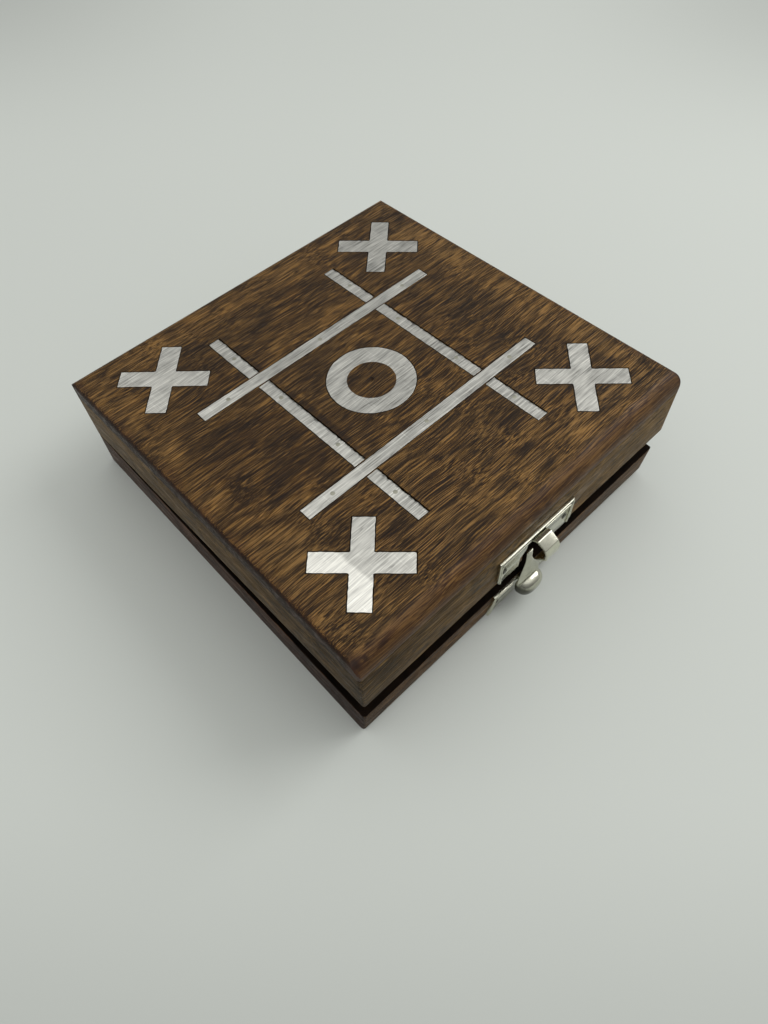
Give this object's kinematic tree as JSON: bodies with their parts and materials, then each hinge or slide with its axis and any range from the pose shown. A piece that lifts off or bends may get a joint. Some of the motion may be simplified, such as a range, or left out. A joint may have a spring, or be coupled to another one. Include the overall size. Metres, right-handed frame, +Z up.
{
  "type": "tic-tac-toe board",
  "caption": "Square hinged wooden tic-tac-toe box with a flush metal grid, X and O inlays on its lid, a front catch, and an inner field of wells holding loose X and O pieces.",
  "frame": {"origin": "middle of the flat underside, which rests on the table", "axes": "+Z up; +Y from the catch at the front to the hinges at the back; +X to the right as seen from the front"},
  "size_m": [0.127, 0.1361, 0.0464],
  "materials": {
    "stained_wood": "stained, satin",
    "inner_wood": "stained, thin coat",
    "inlay_aluminium": "sanded flush",
    "inlay_pin_metal": "sanded flush",
    "nickel_plate": "nickel plated",
    "hinge_metal": "nickel plated",
    "dark_piece_wood": "waxed",
    "light_piece_wood": "waxed"
  },
  "bodies": {
    "base": {"base_catch_nails": "nickel_plate", "base_catch_plate": "nickel_plate", "base_hinge_nails": "hinge_metal", "base_panel": "inner_wood", "base_rail_back": "stained_wood", "base_rail_front": "stained_wood", "base_rail_left": "stained_wood", "base_rail_right": "stained_wood", "catch_pin": "nickel_plate", "divider_cross_left": "inner_wood", "divider_cross_right": "inner_wood", "divider_long_back": "inner_wood", "divider_long_front": "inner_wood", "hinge_left_base_leaf": "hinge_metal", "hinge_left_pin": "hinge_metal", "hinge_right_base_leaf": "hinge_metal", "hinge_right_pin": "hinge_metal"},
    "lid": {"hinge_left_lid_leaf": "hinge_metal", "hinge_right_lid_leaf": "hinge_metal", "inlay_cross_left_back": "inlay_aluminium", "inlay_cross_left_front": "inlay_aluminium", "inlay_cross_right_back": "inlay_aluminium", "inlay_cross_right_front": "inlay_aluminium", "inlay_long_back": "inlay_aluminium", "inlay_long_front": "inlay_aluminium", "inlay_pins": "inlay_pin_metal", "inlay_ring": "inlay_aluminium", "inlay_short_left_back": "inlay_aluminium", "inlay_short_left_front": "inlay_aluminium", "inlay_short_left_middle": "inlay_aluminium", "inlay_short_right_back": "inlay_aluminium", "inlay_short_right_front": "inlay_aluminium", "inlay_short_right_middle": "inlay_aluminium", "lid_catch_hook": "nickel_plate", "lid_catch_nails": "nickel_plate", "lid_catch_plate": "nickel_plate", "lid_hinge_nails": "hinge_metal", "lid_panel": "stained_wood", "lid_rail_back": "stained_wood", "lid_rail_front": "stained_wood", "lid_rail_left": "stained_wood", "lid_rail_right": "stained_wood"},
    "lever": {"catch_lever": "nickel_plate"},
    "piece_o_1": {"piece_o_1": "light_piece_wood"},
    "piece_o_2": {"piece_o_2": "light_piece_wood"},
    "piece_o_3": {"piece_o_3": "light_piece_wood"},
    "piece_o_4": {"piece_o_4": "light_piece_wood"},
    "piece_x_1": {"piece_x_1": "dark_piece_wood"},
    "piece_x_2": {"piece_x_2": "dark_piece_wood"},
    "piece_x_3": {"piece_x_3": "dark_piece_wood"},
    "piece_x_4": {"piece_x_4": "dark_piece_wood"},
    "piece_x_5": {"piece_x_5": "dark_piece_wood"}
  },
  "joints": [
    {"name": "lid_hinge", "type": "hinge", "parent": "base", "child": "lid", "pos_m": [0, 0.0654, 0.0141], "axis": [-1, 0, 0], "range_deg": [-4.2, 124]},
    {"name": "catch_pivot", "type": "hinge", "parent": "base", "child": "lever", "pos_m": [0, -0.0652, 0.011], "axis": [1, 0, 0], "range_deg": [0, 17]},
    {"name": "piece_o_1_lift", "type": "slide", "parent": "base", "child": "piece_o_1", "axis": [0, 0, 1], "range_m": [0, 0.012]},
    {"name": "piece_o_2_lift", "type": "slide", "parent": "base", "child": "piece_o_2", "axis": [0, 0, 1], "range_m": [0, 0.012]},
    {"name": "piece_o_3_lift", "type": "slide", "parent": "base", "child": "piece_o_3", "axis": [0, 0, 1], "range_m": [0, 0.012]},
    {"name": "piece_o_4_lift", "type": "slide", "parent": "base", "child": "piece_o_4", "axis": [0, 0, 1], "range_m": [0, 0.012]},
    {"name": "piece_x_1_lift", "type": "slide", "parent": "base", "child": "piece_x_1", "axis": [0, 0, 1], "range_m": [0, 0.012]},
    {"name": "piece_x_2_lift", "type": "slide", "parent": "base", "child": "piece_x_2", "axis": [0, 0, 1], "range_m": [0, 0.012]},
    {"name": "piece_x_3_lift", "type": "slide", "parent": "base", "child": "piece_x_3", "axis": [0, 0, 1], "range_m": [0, 0.012]},
    {"name": "piece_x_4_lift", "type": "slide", "parent": "base", "child": "piece_x_4", "axis": [0, 0, 1], "range_m": [0, 0.012]},
    {"name": "piece_x_5_lift", "type": "slide", "parent": "base", "child": "piece_x_5", "axis": [0, 0, 1], "range_m": [0, 0.012]}
  ]
}
